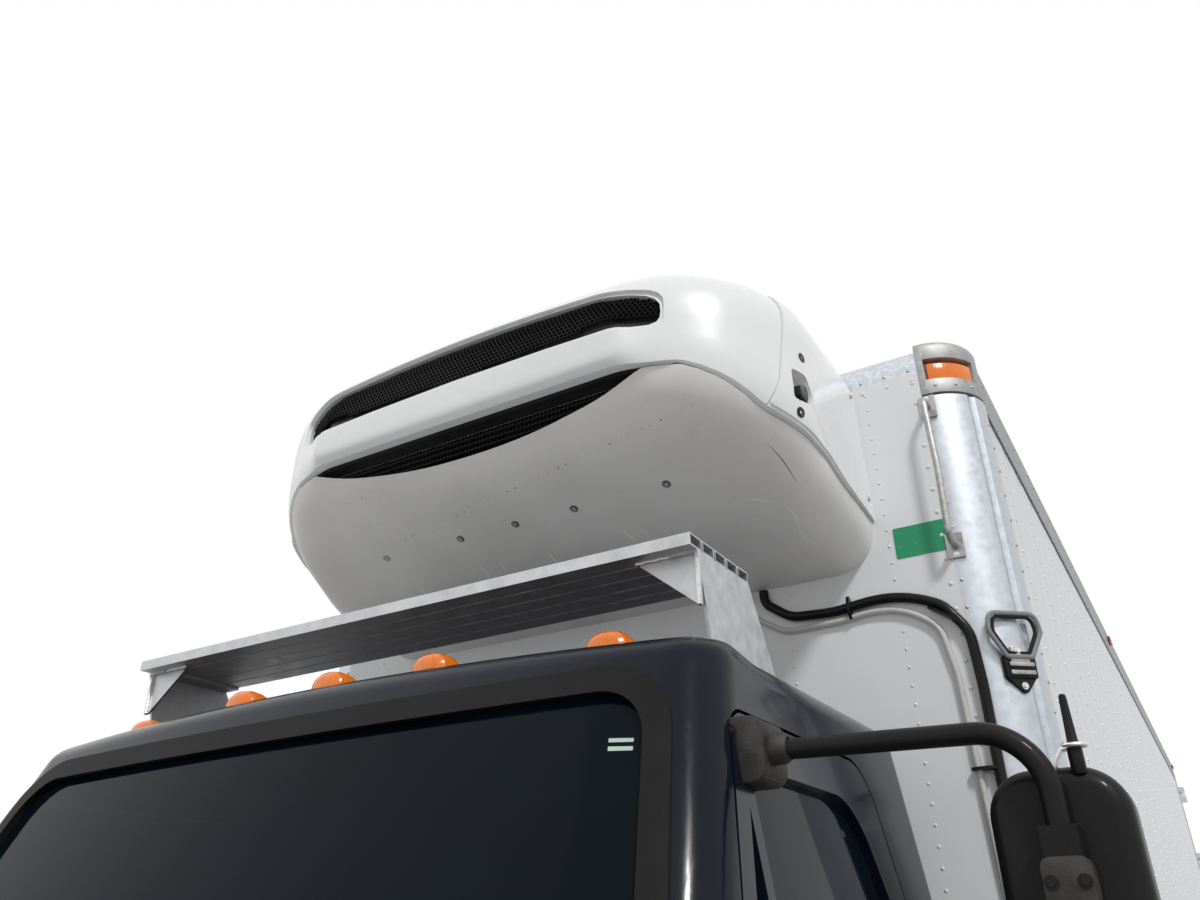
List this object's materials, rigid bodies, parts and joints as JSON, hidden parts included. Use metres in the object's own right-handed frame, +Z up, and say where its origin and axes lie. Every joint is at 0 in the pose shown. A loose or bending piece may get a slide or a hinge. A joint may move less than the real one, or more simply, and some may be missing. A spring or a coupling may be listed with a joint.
{
  "type": "refrigerated truck",
  "caption": "Refrigerated straight truck with a day cab, tilting hood, insulated load body, swinging rear doors and a cooling unit on the front wall.",
  "frame": {"origin": "on the ground, at the middle of the truck's length and width", "axes": "+Z up, -Y towards the front bumper, +X towards the driver's side"},
  "size_m": [2.83, 11.4278, 3.6099],
  "materials": {
    "body_metal": "weathered",
    "box_black": "matt",
    "bumper_chrome": "polished",
    "cab_paint": "gloss clear coat",
    "cap_metal": "cast",
    "cast_parts": "rough",
    "dash_plastic": "grained",
    "deck_metal": "mill",
    "fitting_steel": "zinc plated",
    "frame_paint": "satin",
    "grille_black": "matt",
    "hose_rubber": "satin",
    "lamp_amber": "clear",
    "lamp_clear": "clear",
    "lamp_red": "clear",
    "mirror_shell": "moulded",
    "panel_white": "gloss",
    "rim_paint": "gloss",
    "roof_sheet": "dull",
    "seal_rubber": "matt",
    "seat_cloth": "woven",
    "tank_metal": "brushed",
    "tyre": "matt",
    "unit_grey": "satin",
    "unit_white": "gloss",
    "window_glass": "tinted"
  },
  "bodies": {
    "truck": {"frame_rails": "frame_paint", "cross_members": "frame_paint", "front_bumper": "bumper_chrome", "engine": "cast_parts", "front_springs": "frame_paint", "front_axle": "cast_parts", "rear_axle": "cast_parts", "rear_springs": "frame_paint", "driveshaft": "frame_paint", "fuel_tank": "tank_metal", "battery_box": "box_black", "exhaust": "cast_parts", "cab_shell": "cab_paint", "cab_glass": "window_glass", "glass_seals": "seal_rubber", "dashboard": "dash_plastic", "seats": "seat_cloth", "roof_lamps": "lamp_amber", "roof_deck": "deck_metal", "floor_frame": "body_metal", "bearers": "body_metal", "body_floor": "roof_sheet", "front_wall": "panel_white", "side_walls": "panel_white", "corner_posts": "body_metal", "corner_caps": "cap_metal", "top_rails": "body_metal", "body_roof": "roof_sheet", "rear_frame": "body_metal", "underride_guard": "frame_paint", "mud_flaps": "seal_rubber", "tail_lamps": "lamp_red", "unit_hood": "unit_white", "unit_belly": "unit_grey", "unit_grilles": "grille_black", "evaporator": "unit_white", "wall_fittings": "fitting_steel", "wall_hoses": "hose_rubber"},
    "hood": {"hood": "cab_paint", "headlamps": "lamp_clear", "grille": "bumper_chrome"},
    "door_left": {"door_left": "cab_paint", "door_glass_left": "window_glass", "mirror_left": "mirror_shell"},
    "door_right": {"door_right": "cab_paint", "door_glass_right": "window_glass", "mirror_right": "mirror_shell"},
    "rear_door_left": {"rear_door_left": "panel_white"},
    "rear_door_right": {"rear_door_right": "panel_white"},
    "knuckle_left": {"knuckle_left": "cast_parts"},
    "knuckle_right": {"knuckle_right": "cast_parts"},
    "tie_rod": {"tie_rod": "cast_parts"},
    "wheel_front_left": {"front_rim_left": "rim_paint", "front_tyre_left": "tyre"},
    "wheel_front_right": {"front_rim_right": "rim_paint", "front_tyre_right": "tyre"},
    "wheel_rear_left": {"rear_rims_left": "rim_paint", "rear_tyres_left": "tyre"},
    "wheel_rear_right": {"rear_rims_right": "rim_paint", "rear_tyres_right": "tyre"}
  },
  "joints": [
    {"name": "hood_tilt", "type": "hinge", "parent": "truck", "child": "hood", "pos_m": [0, -5.564, 0.73], "axis": [1, 0, 0], "range_deg": [0, 65]},
    {"name": "door_left_swing", "type": "hinge", "parent": "truck", "child": "door_left", "pos_m": [1.002, -4.191, 1.4], "axis": [0, 0, -1], "range_deg": [0, 70]},
    {"name": "door_right_swing", "type": "hinge", "parent": "truck", "child": "door_right", "pos_m": [-1.002, -4.191, 1.4], "axis": [0, 0, 1], "range_deg": [0, 70]},
    {"name": "rear_door_left_swing", "type": "hinge", "parent": "truck", "child": "rear_door_left", "pos_m": [1.249, 5.7, 2.05], "axis": [0, 0, -1], "range_deg": [0, 270]},
    {"name": "rear_door_right_swing", "type": "hinge", "parent": "truck", "child": "rear_door_right", "pos_m": [-1.249, 5.7, 2.05], "axis": [0, 0, 1], "range_deg": [0, 270]},
    {"name": "steer_left", "type": "hinge", "parent": "truck", "child": "knuckle_left", "pos_m": [0.87, -4.684, 0.51], "axis": [0, 0, 1], "range_deg": [-40, 40]},
    {"name": "steer_right", "type": "hinge", "parent": "truck", "child": "knuckle_right", "pos_m": [-0.87, -4.684, 0.51], "axis": [0, 0, 1], "range_deg": [-40, 40]},
    {"name": "tie_rod_turn", "type": "hinge", "parent": "knuckle_left", "child": "tie_rod", "pos_m": [0.87, -4.504, 0.388], "axis": [0, 0, 1], "range_deg": [-40, 40]},
    {"name": "wheel_front_left_spin", "type": "hinge", "parent": "knuckle_left", "child": "wheel_front_left", "pos_m": [1.015, -4.684, 0.51], "axis": [1, 0, 0], "continuous": true},
    {"name": "wheel_front_right_spin", "type": "hinge", "parent": "knuckle_right", "child": "wheel_front_right", "pos_m": [-1.015, -4.684, 0.51], "axis": [1, 0, 0], "continuous": true},
    {"name": "wheel_rear_left_spin", "type": "hinge", "parent": "truck", "child": "wheel_rear_left", "pos_m": [0.912, 2.326, 0.51], "axis": [1, 0, 0], "continuous": true},
    {"name": "wheel_rear_right_spin", "type": "hinge", "parent": "truck", "child": "wheel_rear_right", "pos_m": [-0.912, 2.326, 0.51], "axis": [1, 0, 0], "continuous": true}
  ],
  "couplings": [
    {"joint": "steer_right", "follows": "steer_left", "ratio": 1},
    {"joint": "tie_rod_turn", "follows": "steer_left", "ratio": -1}
  ]
}
